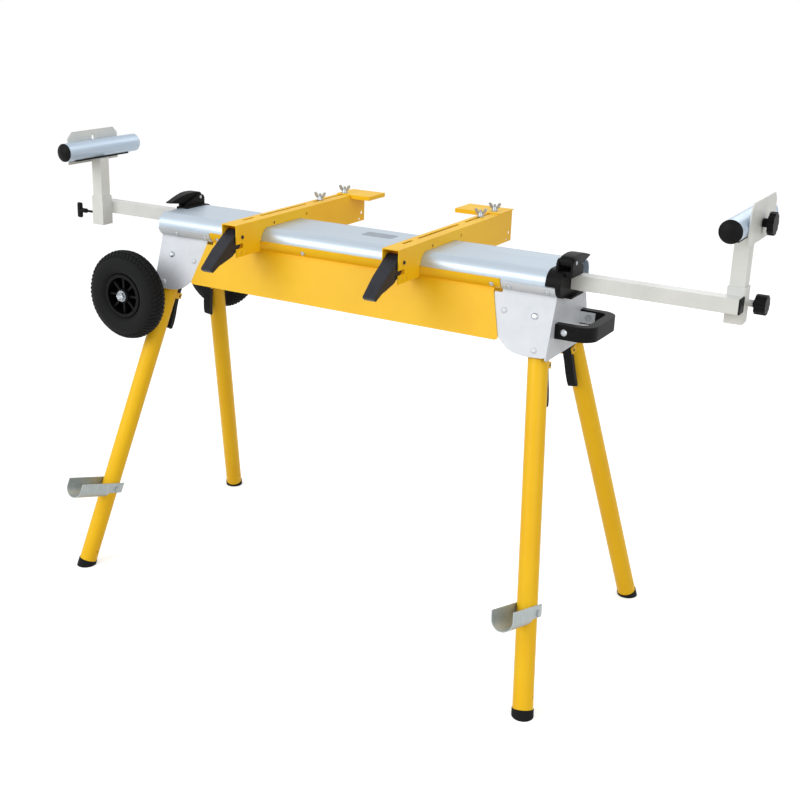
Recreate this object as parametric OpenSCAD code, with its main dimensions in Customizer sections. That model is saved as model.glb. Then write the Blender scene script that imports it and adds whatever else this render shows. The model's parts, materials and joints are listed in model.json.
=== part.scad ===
// Folding miter saw stand: an aluminium beam on four folding legs, with two
// sliding saw rails, two sliding work supports, a carry handle and two wheels.
// Millimetres. X runs along the beam, Y away from the viewer, Z up from the floor.

/* [Main sizes] */
// height of the beam's top above the floor
beam_top = 860; // [800:1:900]
// length of the beam
beam_len = 1016; // [1000:1:1040]
// width of the beam from round side to round side
beam_w = 180; // [176:1:184]
// thickness of the beam
beam_t = 53; // [52:0.5:54]
// wall of the beam
beam_wall = 3; // [2:0.5:3.5]
// shift that brings the whole stand over the middle of its frame
x_shift = -27; // [-30:1:-24]

/* [Work supports] */
// distance of the right post from the middle of the beam
post_x_right = 838; // [820:1:880]
// distance of the left post from the middle of the beam
post_x_left = 762; // [740:1:800]
// height of the right post's top
post_top_right = 966; // [950:1:980]
// height of the left post's top
post_top_left = 959; // [945:1:975]
// side of the square arm and post tubes
arm_side = 30; // [29:0.1:30.2]
// wall of the square tubes
arm_wall = 2; // [1.5:0.1:2.5]
// length of the round support tubes
support_len = 250; // [240:1:290]
// radius of the round support tubes
support_r = 22; // [20:0.5:23]
// wall of the round support tubes
support_wall = 1.8; // [1.5:0.1:2.5]
// length of the stop plates
stop_len = 178; // [160:1:220]

/* [Saw rails] */
// middle of the right rail
rail_x_right = 185; // [180:1:200]
// middle of the left rail
rail_x_left = -226; // [-235:1:-210]
// width of a rail
rail_w = 40; // [38:1:42]
// wall of a rail
rail_wall = 2; // [1.5:0.1:2.5]
// front end of the rails
rail_front = -185; // [-200:1:-180]
// rear end of the rails
rail_rear = 358; // [350:1:362]

/* [Legs] */
// outer radius of the leg tubes
leg_r = 21; // [20:0.5:21.5]
// wall of the leg tubes
leg_wall = 2; // [1.5:0.1:2.5]
// lean of each leg pair to the front or rear, in degrees
leg_tilt = 17.66; // [17:0.01:18.2]
// splay of each leg to the left or right, in degrees
leg_splay = 8.77; // [8.5:0.01:9]
// turn of the right pivots that lets the folded pairs pass, in degrees
right_toe = 1.93; // [1.8:0.01:2]

/* [Wheels] */
// outer radius of the tyres
tyre_r = 106.4; // [100:0.1:108]
// radius of the tyre's round section
tyre_section = 30; // [28:0.5:31]
// distance of the wheels from the middle plane
wheel_y = 181; // [179:1:190]
// height of the axle
axle_z = 676; // [674:0.5:678]

/* [Clearances] */
// gap between pieces that move past each other
gap = 0.3; // [0.25:0.05:0.4]
// radial running clearance of a pin in its bore
run = 0.06; // [0.03:0.01:0.08]
// gap between the arm tubes and their channels
arm_gap = 0.4; // [0.3:0.05:0.6]

/* [Hidden] */
$fn = 48;

// beam section
beam_r = beam_t / 2;
beam_z = beam_top - beam_r;
round_y = beam_w / 2 - beam_r;
beam_end = beam_len / 2;
beam_bottom = beam_top - beam_t;

// arm channels in the beam
arm_y = 22;
channel = arm_side + 2 * arm_gap;
rib = 2;
arm_inner_x = 60;

// sleeves that carry the posts
sleeve_inner = arm_side + 2 * arm_gap;
sleeve_wall = 2;
sleeve_side = sleeve_inner + 2 * sleeve_wall;
post_y = -arm_y + arm_side / 2 + sleeve_side / 2;
sleeve_bottom = beam_z - 41.5;
sleeve_top = beam_z + 31;

// support tube on its post
tube_out = 6;
saddle_t = 2;
saddle_w = 18;
saddle_len = 190;
stop_t = 2.5;
stop_up = 47;
stop_down = 32;
stop_drop_left = 4;
bolt_r = 3;
bolt_bore = bolt_r + run;
stop_slot_r = bolt_r + 1;

// leg pivots and the tilted plane that the legs, plates and skirts share
pivot_x = beam_end - 38.3;
pivot_y = 26.2 - beam_w / 2;
pivot_z = beam_bottom - 49.6;
plate_out = 27.1;
plate_in = 24.6;
skirt_in = 27.4;
skirt_out = 29.4;
plane_y = pivot_y + 34 * tan(leg_tilt);
plane_z = pivot_z + 34;
pivot_drop = -34 / cos(leg_tilt);
fold_right = 100.5;
fold_left = 92.8;

// length of the leg from its pivot down to the floor
leg_down = pivot_z / (cos(leg_splay) * cos(leg_tilt));
foot_r = 22.5;
foot_h = 14;
pivot_r = 5;
lock_r = 5;
lock_z = -68.9;
lever_z = -95;
lever_y = 29;
lever_pin = 3;
hook_z = -596.5;
hook_r = 21.6;
hook_wall = 1.8;
hook_pin = 4;

// clamp block and its cam lever
cam_y = -61;
cam_z = beam_top + 19;
cam_pin = 4;
block_end = beam_end + 12;
cheek_out = beam_end + 24.5;
block_skin = 3;

// wheels
axle_x = beam_end + 26;
axle_r = 8;
hub_r = 17;
rim_half = 20;
rim_r = 52;
hub_in = 146.3;
hub_out = 200;
bracket_tube_r = 12;
cheek_y = 60;
bracket_bolt_y = 46;
bracket_bolt_z = axle_z + 44;
bracket_bolt_r = 3;

// carry handle
handle_z = beam_bottom - 69;
handle_y = 68;
handle_w = 18;
handle_h = 31;
handle_x = beam_end + 80;
handle_bar = 20;

// saw rails
rail_top = beam_top + 22;
rail_bottom = beam_bottom + 3;
rail_pin = 4;
rail_pin_y = -163;
rail_pin_z = beam_top - 7;
slot_w = 7;
slot_off = -6;
wing_front = 288;
wing_rear = 366;

// colours
yellow = "#FBC833";
silver = "#DDE1E6";
alu = "#C4CDD8";
warm_grey = "#D9DBD8";
black = "#1E1E1E";
dark_grey = "#5A5A68";
zinc = "#C9CCCC";
galv = "#B8C4C8";
tyre_black = "#15181A";

// Placing: the whole stand is shifted along X; each end unit is drawn for the right
// end and turned half round for the left; legs are drawn front right and mirrored.
module stand() translate([x_shift, 0, 0]) children();
module left_end() rotate([0, 0, 180]) children();
module flip_x() mirror([1, 0, 0]) children();
module flip_y() mirror([0, 1, 0]) children();
module leg_frame() {
  translate([pivot_x, pivot_y, pivot_z])
    rotate([-leg_tilt, 0, 0])
      rotate([0, -leg_splay, 0])
        children();
}
module plate_frame() {
  translate([0, plane_y, plane_z]) rotate([-leg_tilt, 0, 0]) children();
}
module pivot_frame(toe) leg_frame() rotate([0, 0, -toe]) children();

// Points [y, z] on the beam's front round side and on the tilted plane
function flank_point(r, dip) = [-round_y - r * cos(dip), beam_z - r * sin(dip)];
function plane_point(y, z) = [plane_y + y * cos(leg_tilt) + z * sin(leg_tilt),
  plane_z - y * sin(leg_tilt) + z * cos(leg_tilt)];

// A round bar along X, Y or Z from a to b
module bar_x(r, a, b) translate([a, 0, 0]) rotate([0, 90, 0]) cylinder(r = r, h = b - a);
module bar_y(r, a, b) translate([0, b, 0]) rotate([90, 0, 0]) cylinder(r = r, h = b - a);
module bar_z(r, a, b) translate([0, 0, a]) cylinder(r = r, h = b - a);
module box(x0, x1, y0, y1, z0, z1) {
  translate([x0, y0, z0]) cube([x1 - x0, y1 - y0, z1 - z0]);
}
// A profile in Y and Z carried along X from a to b
module along_x(a, b) {
  translate([a, 0, 0]) rotate([90, 0, 90]) linear_extrude(b - a) children();
}

// Beam: hollow section with half round sides and two square channels for the arms
module beam_round(add) {
  translate([-round_y, beam_z]) circle(r = beam_r + add, $fn = 96);
  translate([round_y, beam_z]) circle(r = beam_r + add, $fn = 96);
  translate([-round_y, beam_z - beam_r - add]) square([2 * round_y, beam_t + 2 * add]);
}
module channel_ribs() {
  for (s = [-1, 1]) {
    translate([s * arm_y - channel / 2 - rib, beam_z - beam_r + 1])
      square([rib, beam_t - 2]);
    translate([s * arm_y + channel / 2, beam_z - beam_r + 1])
      square([rib, beam_t - 2]);
    translate([s * arm_y - channel / 2 - 1, beam_z + channel / 2])
      square([channel + 2, rib]);
    translate([s * arm_y - channel / 2 - 1, beam_z - channel / 2 - rib])
      square([channel + 2, rib]);
  }
}
screw_dip = 34.4;
screw_r = 2.5;
skirt_half = beam_end - 137;
skirt_screws = [-skirt_half + 37, -96, skirt_half - 3];
bracket_screws = [-beam_end + 53, -beam_end + 137, beam_end - 101, beam_end - 17];
module screw_frame(x) {
  translate([x, -round_y, beam_z]) rotate([screw_dip, 0, 0]) children();
}
module screw_hole(x) screw_frame(x) bar_y(screw_r + run, -beam_r - 6, -beam_r + 6);
module beam() {
  color(alu) difference() {
    along_x(-beam_end, beam_end) union() {
      difference() {
        beam_round(0);
        beam_round(-beam_wall);
      }
      channel_ribs();
    }
    for (x = concat(skirt_screws, bracket_screws)) {
      screw_hole(x);
      left_end() screw_hole(x);
    }
  }
}

// Skirts: sheet aprons between the leg brackets, screwed to the beam's round flanks
module flank_sheet(x0, x1, t, dip) {
  along_x(x0, x1) translate([-round_y, beam_z]) difference() {
    intersection() {
      circle(r = beam_r + 0.2 + t, $fn = 96);
      polygon([[0, 0], [-60, -60 * tan(dip)], [-60, -60], [-60 * cos(66) / sin(66), -60]]);
    }
    circle(r = beam_r + 0.2, $fn = 96);
  }
}
module fold_strip(x0, x1, t, out, inn) {
  along_x(x0, x1)
    polygon([flank_point(beam_r + 0.4, 64.7), flank_point(beam_r + t - 0.5, 62.6),
      plane_point(-out + 0.1, 1.3), plane_point(-out + 0.2, -0.2),
      plane_point(-inn - 0.2, -0.2), flank_point(beam_r + t, 66.4)]);
}
module skirt() {
  difference() {
    union() {
      flank_sheet(-skirt_half + 17, skirt_half + 17, 2, 4);
      fold_strip(-skirt_half + 17, skirt_half, 2, skirt_out, skirt_in);
      plate_frame() translate([0, -skirt_in, 0]) rotate([90, 0, 0])
        linear_extrude(skirt_out - skirt_in)
          polygon([[-skirt_half, 1], [-skirt_half - 27.6, -93], [-skirt_half - 21, -97],
            [skirt_half + 21, -97], [skirt_half + 27.6, -93], [skirt_half, 1]]);
      plate_frame() for (s = [-1, 1])
        box(s * (skirt_half - 31) - 12, s * (skirt_half - 31) + 12, -skirt_out,
          -skirt_in + 4, -97, -95);
    }
    for (x = skirt_screws) screw_hole(x);
  }
}
module skirt_front() color(yellow) skirt();
module skirt_rear() color(yellow) left_end() skirt();

// End brackets: bent sheet under each beam end that carries the leg pivots
dome_r = 6.5;
dome_h = 3;
module lock_dome() {
  rotate([90, 0, 0]) translate([0, 0, plate_out - 0.5]) {
    cylinder(r = dome_r, h = 1.5);
    translate([0, 0, 1.4]) cylinder(r1 = dome_r, r2 = dome_r - 2.5, h = dome_h - 1);
  }
}
module bracket_side(toe, fold, flank_from, strip_from) {
  difference() {
    union() {
      flank_sheet(flank_from, beam_end, 2.5, 10);
      fold_strip(strip_from, beam_end, 2.5, plate_out, plate_in);
      plate_frame() translate([beam_end, -plate_in, 0]) rotate([90, 0, 0])
        linear_extrude(plate_out - plate_in)
          polygon([[-146, -3], [-135, -3], [-135, 1.6], [0, 1.6], [0, -114],
            [-8, -117], [-39, -119], [-54, -118.4], [-70, -116], [-86, -110],
            [-100, -99], [-118, -82], [-130, -54], [-143, -22]]);
      leg_frame() translate([0, 0, lock_z]) lock_dome();
      plate_frame() translate([pivot_x + lock_z * sin(fold - leg_splay), 0,
        pivot_drop + lock_z * cos(fold - leg_splay)]) lock_dome();
    }
    pivot_frame(toe) bar_y(pivot_r + run, -plate_out - 3, -plate_in + 3);
  }
}
module end_bracket(toe, fold) {
  difference() {
    union() {
      bracket_side(toe, fold, skirt_half + 19, skirt_half + 19);
      flip_y() bracket_side(toe, fold, skirt_half - 15, skirt_half + 2);
      box(beam_end - 113, beam_end, -77.4, 77.4, beam_bottom - 2.8, beam_bottom - 0.3);
      along_x(beam_end - 2.5, beam_end)
        polygon([[-77.4, beam_bottom - 0.3], [-78.2, beam_bottom - 6],
          [-115, beam_bottom - 121.6], [-110, beam_bottom - 125.6],
          [110, beam_bottom - 125.6], [115, beam_bottom - 121.6],
          [78.2, beam_bottom - 6], [77.4, beam_bottom - 0.3]]);
    }
    for (x = bracket_screws) {
      screw_hole(x);
      left_end() screw_hole(x);
    }
  }
}
module end_bracket_left() {
  color(silver) left_end() difference() {
    end_bracket(0, fold_left);
    for (s = [-1, 1]) translate([0, s * bracket_bolt_y, bracket_bolt_z])
      bar_x(bracket_bolt_r + run, beam_end - 10, beam_end + 10);
  }
}
module end_bracket_right() {
  color(silver) difference() {
    union() {
      end_bracket(right_toe, fold_right);
      for (s = [-1, 1])
        box(beam_end - 2, beam_end + 34, s * (handle_y - 11.2) - 1.2,
          s * (handle_y - 11.2) + 1.2, handle_z - 12, handle_z + 12);
    }
    for (s = [-1, 1])
      translate([beam_end + 20, s * handle_y, handle_z]) bar_y(4.06, -20, 20);
  }
}

// Flange screws: pan heads on the flank sheets, front and rear
module flange_screw(seat) {
  bar_y(screw_r, -seat - 1, -beam_r + 5);
  translate([0, -seat, 0]) rotate([90, 0, 0]) difference() {
    union() {
      cylinder(r = 5.5, h = 1.6);
      translate([0, 0, 1.5]) cylinder(r1 = 5.5, r2 = 3.6, h = 1.2);
    }
    translate([0, 0, 1]) cylinder(r = 1.6, h = 3);
  }
}
module flange_screws() {
  color(zinc) for (turn = [0, 180]) rotate([0, 0, turn]) {
    for (x = skirt_screws) screw_frame(x) flange_screw(beam_r + 2.2);
    for (x = bracket_screws) screw_frame(x) flange_screw(beam_r + 2.7);
  }
}

// Leg pivot bolts: domed head outside the bracket, nut inside
module pivot_bolt() {
  bar_y(pivot_r, -plate_out - 1, leg_r + 12);
  translate([0, -plate_out - 0.3, 0]) rotate([90, 0, 0]) {
    cylinder(r = 7, h = 1.5);
    translate([0, 0, 1.4]) cylinder(r1 = 7, r2 = 4, h = 2.4);
  }
  translate([0, leg_r + 3.4, 0]) rotate([-90, 0, 0]) cylinder(r = 8, h = 5, $fn = 6);
}
module leg_pivot_bolts() {
  color(zinc) {
    pivot_frame(right_toe) pivot_bolt();
    flip_y() pivot_frame(right_toe) pivot_bolt();
    flip_x() pivot_frame(0) pivot_bolt();
    flip_x() flip_y() pivot_frame(0) pivot_bolt();
  }
}

// Carry handle: a rounded U of black plastic on the right end plate
module rounded_u(end, side, r) {
  hull() {
    translate([beam_end + 0.1, -side]) square([2, 2 * side]);
    for (s = [-1, 1]) translate([end - r, s * (side - r)]) circle(r = r);
  }
}
module carry_handle() {
  hy = handle_y + handle_w / 2;
  color(black) difference() {
    translate([0, 0, handle_z - handle_h / 2]) linear_extrude(handle_h) difference() {
      rounded_u(handle_x, hy, 34);
      translate([-1, 0]) rounded_u(handle_x - handle_bar + 1, hy - handle_w, 18);
    }
    for (s = [-1, 1]) {
      for (k = [-1, 1])
        box(beam_end + 32, handle_x - 36, s > 0 ? hy - 1.2 : -hy - 1,
          s > 0 ? hy + 1 : -hy + 1.2, handle_z + k * 7 - 1.5, handle_z + k * 7 + 1.5);
      translate([beam_end + 20, s * handle_y, handle_z]) bar_y(4.06, -20, 20);
    }
  }
}

// End bolts: two hold the handle, two the wheel bracket
module handle_bolt() {
  bar_y(4, -handle_w / 2 - 1, handle_w / 2 + 9);
  translate([0, -handle_w / 2, 0]) rotate([90, 0, 0]) {
    cylinder(r = 7, h = 1.5);
    translate([0, 0, 1.4]) cylinder(r1 = 7, r2 = 4.5, h = 2);
  }
  translate([0, handle_w / 2 + 3.5, 0]) rotate([-90, 0, 0]) cylinder(r = 7, h = 4, $fn = 6);
}
module bracket_bolt() {
  bar_x(bracket_bolt_r, -beam_end - 6, -beam_end + 10);
  bar_x(5.5, -beam_end - 9, -beam_end - 5);
  translate([-beam_end + 2.5, 0, 0]) rotate([0, 90, 0]) cylinder(r = 5.5, h = 4, $fn = 6);
}
module end_bolts() {
  color(zinc) for (s = [0, 1]) mirror([0, s, 0]) {
    translate([beam_end + 20, -handle_y, handle_z]) handle_bolt();
    translate([0, -bracket_bolt_y, bracket_bolt_z]) bracket_bolt();
  }
}

// Clamp blocks: plastic guides on the beam ends that hold the cam levers
module block_profile(bottom) {
  intersection() {
    beam_round(block_skin);
    translate([-120, bottom]) square([128, 80]);
  }
}
module cheek_profile(nose, bottom) {
  hull() {
    translate([-77, bottom]) square([nose + 77, 3]);
    translate([-65, beam_top + 13]) circle(r = 12);
    translate([-56, beam_top + 13]) circle(r = 12);
    translate([nose - 8, beam_top + 2]) circle(r = 8);
  }
}
module clamp_block() {
  difference() {
    union() {
      along_x(beam_end + gap, block_end) block_profile(beam_bottom - 1);
      along_x(beam_end - 21, beam_end + 1) block_profile(beam_z - 3);
      along_x(beam_end - 7, beam_end - 2) cheek_profile(-3, beam_top - 4);
      along_x(cheek_out, cheek_out + 4.5) cheek_profile(-20, beam_z + 17.5);
      box(block_end - 1, cheek_out + 4.5, -77, -24, beam_z + 17.5, beam_top + 2);
      box(beam_end + 8, beam_end + 24, -60, 4, beam_bottom - 3, beam_bottom);
    }
    along_x(beam_end - 30, beam_end + 0.2) beam_round(0.1);
    box(beam_end - 1, block_end + 10, -arm_y - channel / 2, -arm_y + channel / 2,
      beam_z - channel / 2, beam_z + channel / 2);
    translate([0, cam_y, cam_z]) bar_x(cam_pin + run, beam_end - 12, cheek_out + 10);
  }
}
module clamp_block_right() color(black) clamp_block();
module clamp_block_left() color(black) left_end() clamp_block();
module cam_pin_bar() {
  translate([0, cam_y, cam_z]) bar_x(cam_pin, beam_end - 8, cheek_out + 5.5);
}
module cam_pins() {
  color(zinc) {
    cam_pin_bar();
    left_end() cam_pin_bar();
  }
}

// Cam levers: arched handles that press the arms fast
module cam_lever() {
  lx0 = beam_end - 2 + gap;
  lx1 = cheek_out - gap;
  color(black) difference() {
    intersection() {
      translate([0, cam_y, cam_z]) union() {
        bar_x(12, lx0 - 5, lx1 + 5);
        along_x(lx0 - 5, lx1 + 5)
          polygon([[-7, 5], [2, 12.4], [10, 13], [25, 13.5], [42, 12.5], [60, 9], [78, 4.5],
            [92, 0.5], [101, -1.5], [102, -4], [96, -4.5], [80, -7], [58, -10], [30, -10],
            [8, -6]]);
      }
      translate([0, 0, cam_z - 40]) linear_extrude(80)
        polygon([[lx0, cam_y - 20], [lx1, cam_y - 20], [lx1, cam_y + 30],
          [lx1 - 6, cam_y + 105], [lx0 + 6, cam_y + 105], [lx0, cam_y + 30]]);
    }
    translate([0, cam_y, cam_z]) bar_x(cam_pin + run, lx0 - 1, lx1 + 1);
  }
}
module cam_lever_right() cam_lever();
module cam_lever_left() left_end() cam_lever();

// Wheel bracket: cheeks bolted to the left end plate and a tube for the axle
module wheel_bracket() {
  color(silver) difference() {
    union() {
      translate([-axle_x, 0, axle_z]) bar_y(bracket_tube_r, -hub_in + gap, hub_in - gap);
      for (s = [-1, 1]) {
        box(-beam_end - 5, -beam_end - gap, s * cheek_y - 25, s * cheek_y + 25,
          axle_z + 18, axle_z + 74);
        translate([0, s * cheek_y, 0]) rotate([90, 0, 0]) translate([0, 0, -2])
          linear_extrude(4)
            polygon([[-beam_end - 4, axle_z + 69], [-beam_end - 4, axle_z + 20],
              [-axle_x + 8, axle_z - 6], [-axle_x - 9, axle_z + 4],
              [-axle_x - 4, axle_z + 10]]);
      }
    }
    translate([-axle_x, 0, axle_z]) bar_y(axle_r + run, -hub_in - 1, hub_in + 1);
    for (s = [-1, 1]) translate([0, s * bracket_bolt_y, bracket_bolt_z])
      bar_x(bracket_bolt_r + run, -beam_end - 10, -beam_end + 1);
  }
}

// Axle with cap nuts outside the wheels
module wheel_axle() {
  color(zinc) translate([-axle_x, 0, axle_z]) {
    bar_y(axle_r, -hub_out - 6, hub_out + 6);
    for (s = [0, 1]) mirror([0, s, 0]) {
      translate([0, -hub_out - gap, 0]) rotate([90, 0, 0]) cylinder(r = 13, h = 2);
      translate([0, -hub_out - gap - 1.9, 0]) rotate([90, 0, 0]) cylinder(r = 11, h = 6, $fn = 6);
      translate([0, -hub_out - gap - 7.5, 0]) rotate([90, 0, 0])
        cylinder(r1 = 9, r2 = 5, h = 5);
    }
  }
}

// Wheels: solid rubber tyres on spoked black rims
module tyre() {
  rotate([90, 0, 0]) rotate_extrude($fn = 96)
    difference() {
      translate([tyre_r - tyre_section, 0]) circle(r = tyre_section);
      translate([0, -40]) square([rim_r, 80]);
    }
}
module rim() {
  difference() {
    union() {
      rotate([90, 0, 0]) rotate_extrude($fn = 96) {
        translate([rim_r - 5, -rim_half]) square([4.9, 2 * rim_half]);
        translate([rim_r - 8, -rim_half]) square([5, 3]);
        translate([rim_r - 8, rim_half - 3]) square([5, 3]);
      }
      bar_y(hub_r, -(hub_out - wheel_y), wheel_y - hub_in);
      rotate([90, 0, 0]) translate([0, 0, -9]) cylinder(r = rim_r - 3, h = 4);
      for (a = [0:45:359])
        rotate([0, a, 0]) box(hub_r - 2, rim_r - 3, -13, 8, -2.5, 2.5);
    }
    bar_y(axle_r + run, -80, 80);
  }
}
module wheel_place(s) {
  mirror([0, s, 0]) translate([-axle_x, -wheel_y, axle_z]) children();
}
module tyre_front() color(tyre_black) wheel_place(0) tyre();
module tyre_rear() color(tyre_black) wheel_place(1) tyre();
module rim_front() color(black) wheel_place(0) rim();
module rim_rear() color(black) wheel_place(1) rim();

// Arms: square tubes that slide out of the beam and carry the post sleeves
module arm(px) {
  hy = arm_side / 2;
  ends = px + arm_side / 2;
  difference() {
    union() {
      box(arm_inner_x, ends, -arm_y - hy, -arm_y + hy, beam_z - hy, beam_z + hy);
      box(px - sleeve_side / 2, px + sleeve_side / 2, post_y - sleeve_side / 2,
        post_y + sleeve_side / 2, sleeve_bottom, sleeve_top);
      translate([0, post_y, post_knob_z(px)])
        bar_x(7, px + sleeve_side / 2 - 0.5, px + sleeve_side / 2 + nut_len(px));
    }
    box(arm_inner_x - 1, ends + 1, -arm_y - hy + arm_wall, -arm_y + hy - arm_wall,
      beam_z - hy + arm_wall, beam_z + hy - arm_wall);
    box(px - sleeve_inner / 2, px + sleeve_inner / 2, post_y - sleeve_inner / 2,
      post_y + sleeve_inner / 2, sleeve_bottom - 1, sleeve_top + 1);
    translate([0, post_y, post_knob_z(px)])
      bar_x(bolt_bore, px + sleeve_inner / 2 - 1, px + sleeve_side / 2 + 15);
  }
}
function nut_len(px) = px == post_x_left ? 10 : 13;
function post_knob_z(px) = px == post_x_left ? beam_z - 15.5 : beam_z;
module arm_right() color(warm_grey) arm(post_x_right);
module arm_left() color(warm_grey) left_end() arm(post_x_left);
module arm_plug(px) {
  ends = px + arm_side / 2;
  hy = arm_side / 2;
  box(ends, ends + 3, -arm_y - hy, -arm_y + hy, beam_z - hy, beam_z + hy);
  box(ends - 12, ends + 1, -arm_y - hy + 2.1, -arm_y + hy - 2.1,
    beam_z - hy + 2.1, beam_z + hy - 2.1);
}
module arm_plug_right() color(black) arm_plug(post_x_right);
module arm_plug_left() color(black) left_end() arm_plug(post_x_left);

// Posts: square tubes in the sleeves
module post(px, top) {
  h = arm_side / 2;
  difference() {
    box(px - h, px + h, post_y - h, post_y + h, sleeve_bottom, top);
    box(px - h + 2, px + h - 2, post_y - h + 2, post_y + h - 2, sleeve_bottom - 1, top - 3);
  }
}
module post_right() color(warm_grey) post(post_x_right, post_top_right);
module post_left() color(warm_grey) left_end() post(post_x_left, post_top_left);

// Post knobs: screw through the sleeve and press on the post
module knob(shaft_from, hub_from, hub_len, hub, disc, disc_len) {
  bar_x(bolt_r, shaft_from, hub_from + 2);
  bar_x(hub, hub_from, hub_from + hub_len);
  translate([hub_from + hub_len - 0.5, 0, 0]) difference() {
    bar_x(disc, 0, disc_len);
    for (a = [0:36:359]) rotate([a, 0, 0]) translate([0, 0, disc + 2.2]) bar_x(4, -1, disc_len + 1);
  }
}
module wing_knob(shaft_from, hub_from, hub_len, hub, grip_t) {
  grip_from = hub_from + hub_len;
  bar_x(bolt_r, shaft_from, hub_from + 2);
  bar_x(hub, hub_from, grip_from + 2);
  box(grip_from, grip_from + grip_t, -5, 5, -14.5, 14.5);
  for (s = [-1, 1])
    translate([0, 0, s * 14.5]) bar_x(5, grip_from, grip_from + grip_t);
}
module post_knob_right() {
  color(black) translate([0, post_y, post_knob_z(post_x_right)])
    knob(post_x_right + arm_side / 2 + gap, post_x_right + sleeve_side / 2 + 15, 3, 9, 19.5, 22);
}
module post_knob_left() {
  color(black) left_end() translate([0, post_y, post_knob_z(post_x_left)])
    wing_knob(post_x_left + arm_side / 2 + gap, post_x_left + sleeve_side / 2 + 37, 18, 5.8, 9.5);
}

// Saddles, support tubes and their domed caps
function tube_z(top) = top + saddle_t + support_r;
module saddle(px, top) {
  difference() {
    box(px + tube_out - saddle_w / 2, px + tube_out + saddle_w / 2, 3 - saddle_len / 2,
      3 + saddle_len / 2, top, top + saddle_t + 1.5);
    translate([px + tube_out, 0, tube_z(top)])
      bar_y(support_r + 0.1, -saddle_len, saddle_len);
  }
}
module saddle_right() color(black) saddle(post_x_right, post_top_right);
module saddle_left() color(black) left_end() saddle(post_x_left, post_top_left);
module support_tube(px, top) {
  translate([px + tube_out, 3, tube_z(top)]) difference() {
    bar_y(support_r, -support_len / 2, support_len / 2);
    bar_y(support_r - support_wall, -support_len, support_len);
    bar_x(bolt_bore, 0, support_r + 2);
  }
}
module support_tube_right() color(alu) support_tube(post_x_right, post_top_right);
module support_tube_left() color(alu) left_end() support_tube(post_x_left, post_top_left);
module tube_caps(px, top) {
  translate([px + tube_out, 3, tube_z(top)]) for (s = [0, 1]) mirror([0, s, 0])
    translate([0, -support_len / 2, 0]) rotate([90, 0, 0]) {
      translate([0, 0, -12]) cylinder(r = support_r - support_wall - 0.1, h = 12.5);
      intersection() {
        cylinder(r = support_r, h = 10);
        translate([0, 0, -28]) sphere(r = 36);
      }
    }
}
module tube_caps_right() color(black) tube_caps(post_x_right, post_top_right);
module tube_caps_left() color(black) left_end() tube_caps(post_x_left, post_top_left);

// Stop plates: flip-up work stops clamped to the support tubes by a knob
module stop_plate(px, top, drop) {
  x0 = px + tube_out + support_r + gap;
  z0 = tube_z(top);
  difference() {
    along_x(x0, x0 + stop_t) translate([3, z0 - drop])
      polygon([[-stop_len / 2, -stop_down], [stop_len / 2, -stop_down],
        [stop_len / 2, stop_up - 15], [stop_len / 2 - 15, stop_up],
        [-stop_len / 2 + 15, stop_up], [-stop_len / 2, stop_up - 15]]);
    translate([0, 3, z0]) {
      translate([0, 0, -16]) bar_x(stop_slot_r, x0 - 1, x0 + stop_t + 1);
      translate([0, 0, 26]) bar_x(stop_slot_r, x0 - 1, x0 + stop_t + 1);
      box(x0 - 1, x0 + stop_t + 1, -stop_slot_r, stop_slot_r, -16, 26);
    }
  }
}
module stop_plate_right() color(warm_grey) stop_plate(post_x_right, post_top_right, 0);
module stop_plate_left() {
  color(warm_grey) left_end() stop_plate(post_x_left, post_top_left, stop_drop_left);
}
module stop_knob(px, top) {
  x0 = px + tube_out + support_r;
  translate([0, 3, tube_z(top)]) knob(x0 - 8, x0 + 2 * gap + stop_t, 12, 8.5, 22, 12);
}
module stop_knob_right() color(black) stop_knob(post_x_right, post_top_right);
module stop_knob_left() color(black) left_end() stop_knob(post_x_left, post_top_left);

// Saw rails: channels across the beam that carry the saw
module rail_hole(y, z, r) translate([0, y, z]) bar_x(r, -rail_w, rail_w);
module top_slot(y0, y1) {
  translate([slot_off, 0, 0]) {
    translate([0, y0 + slot_w / 2, 0]) bar_z(slot_w / 2, rail_top - 5, rail_top + 1);
    translate([0, y1 - slot_w / 2, 0]) bar_z(slot_w / 2, rail_top - 5, rail_top + 1);
    box(-slot_w / 2, slot_w / 2, y0 + slot_w / 2, y1 - slot_w / 2, rail_top - 5, rail_top + 1);
  }
}
module saw_rail(slots) {
  difference() {
    box(-rail_w / 2, rail_w / 2, rail_front, rail_rear, rail_bottom, rail_top);
    box(-rail_w / 2 + rail_wall, rail_w / 2 - rail_wall, rail_front - 1, rail_rear + 1,
      rail_bottom - 1, rail_top - rail_wall);
    along_x(-rail_w, rail_w) union() {
      intersection() {
        beam_round(1);
        translate([-120, beam_z - 1]) square([240, beam_r + 1 + gap]);
      }
      translate([-96, rail_bottom - 1]) square([192, beam_z - rail_bottom + 1]);
    }
    for (s = slots) top_slot(s[0], s[1]);
    rail_hole(rail_pin_y, rail_pin_z, rail_pin + run);
    rail_hole(-170, rail_bottom + 9, 3);
    rail_hole(-151, rail_bottom + 8, 3);
    rail_hole(-40, beam_top + 6.5, 3.5);
    rail_hole(93, beam_top + 6.5, 3.5);
    rail_hole(345, rail_bottom + 21, 4.5);
    rail_hole(335, rail_bottom + 5.5, 3.5);
    box(-rail_w, rail_w, rail_front - 5, rail_front + 25, rail_bottom + 19, rail_bottom + 29);
  }
}
left_slots = [[-126, -82], [-59, 130], [160, 342]];
right_slots = [[-126, -82], [-59, 130], [160, 342]];
module saw_rail_left() color(yellow) translate([rail_x_left, 0, 0]) saw_rail(left_slots);
module saw_rail_right() color(yellow) translate([rail_x_right, 0, 0]) saw_rail(right_slots);

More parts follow.
